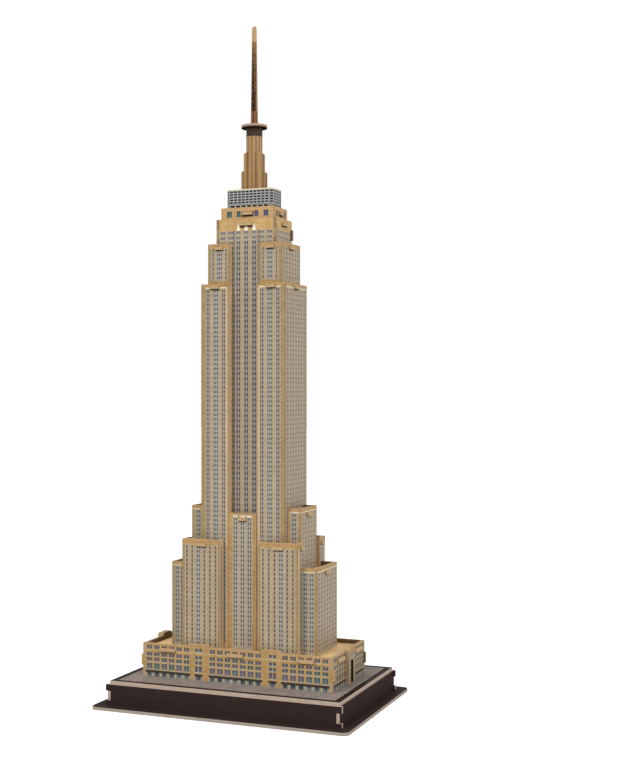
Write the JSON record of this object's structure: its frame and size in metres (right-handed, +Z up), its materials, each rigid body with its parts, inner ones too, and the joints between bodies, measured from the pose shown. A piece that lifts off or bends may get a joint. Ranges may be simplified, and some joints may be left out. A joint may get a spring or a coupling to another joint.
{
  "type": "skyscraper model",
  "caption": "Stepped skyscraper model of tabbed printed board: tall tower with set-back blocks, crown and slim mast on a dark plinth with a flat underside.",
  "frame": {"origin": "centre of the bottom plate's underside, on the surface that the model stands on", "axes": "+Z up along the mast, +X along the long side to the right, +Y from the front to the back, so the front faces -Y"},
  "size_m": [0.203, 0.153, 0.52],
  "materials": {
    "facade_board": "satin",
    "roof_board": "satin",
    "plinth_board": "satin",
    "pavement_board": "satin",
    "inner_board": "matte",
    "crown_board": "satin",
    "mast_board": "satin",
    "mast_card": "satin"
  },
  "bodies": {
    "root": {"base_back_wall": "plinth_board", "base_bottom_plate": "plinth_board", "base_cross_rib_left": "inner_board", "base_cross_rib_right": "inner_board", "base_front_wall": "plinth_board", "base_left_wall": "plinth_board", "base_long_rib": "inner_board", "base_right_wall": "plinth_board", "base_top_plate": "pavement_board", "centre_bay_back": "facade_board", "centre_bay_front": "facade_board", "centre_bay_roof_back": "roof_board", "centre_bay_roof_front": "roof_board", "core_back_wall": "facade_board", "core_floor_lower": "inner_board", "core_floor_upper": "inner_board", "core_front_wall": "facade_board", "core_left_wall": "facade_board", "core_right_wall": "facade_board", "corner_wing_back_left": "facade_board", "corner_wing_back_right": "facade_board", "corner_wing_front_left": "facade_board", "corner_wing_front_right": "facade_board", "corner_wing_roof_back_left": "roof_board", "corner_wing_roof_back_right": "roof_board", "corner_wing_roof_front_left": "roof_board", "corner_wing_roof_front_right": "roof_board", "crown_band": "crown_board", "crown_cap": "crown_board", "entrance_panel_left": "facade_board", "entrance_panel_right": "facade_board", "lantern_band": "facade_board", "lantern_roof": "roof_board", "lookout_roof": "roof_board", "mast_board_split": "mast_board", "mast_board_whole": "mast_board", "mast_disc": "mast_board", "mast_tube": "mast_card", "outer_wing_left": "facade_board", "outer_wing_right": "facade_board", "outer_wing_roof_left": "roof_board", "outer_wing_roof_right": "roof_board", "podium_back_wall": "facade_board", "podium_front_wall": "facade_board", "podium_left_wall": "facade_board", "podium_right_wall": "facade_board", "podium_roof": "roof_board", "shoulder_left": "facade_board", "shoulder_right": "facade_board", "shoulder_roof_left": "roof_board", "shoulder_roof_right": "roof_board", "tower_roof_left": "roof_board", "tower_roof_right": "roof_board", "tower_shell_left": "facade_board", "tower_shell_right": "facade_board", "upper_roof_left": "roof_board", "upper_roof_right": "roof_board", "upper_shell_left": "facade_board", "upper_shell_right": "facade_board"}
  },
  "joints": []
}
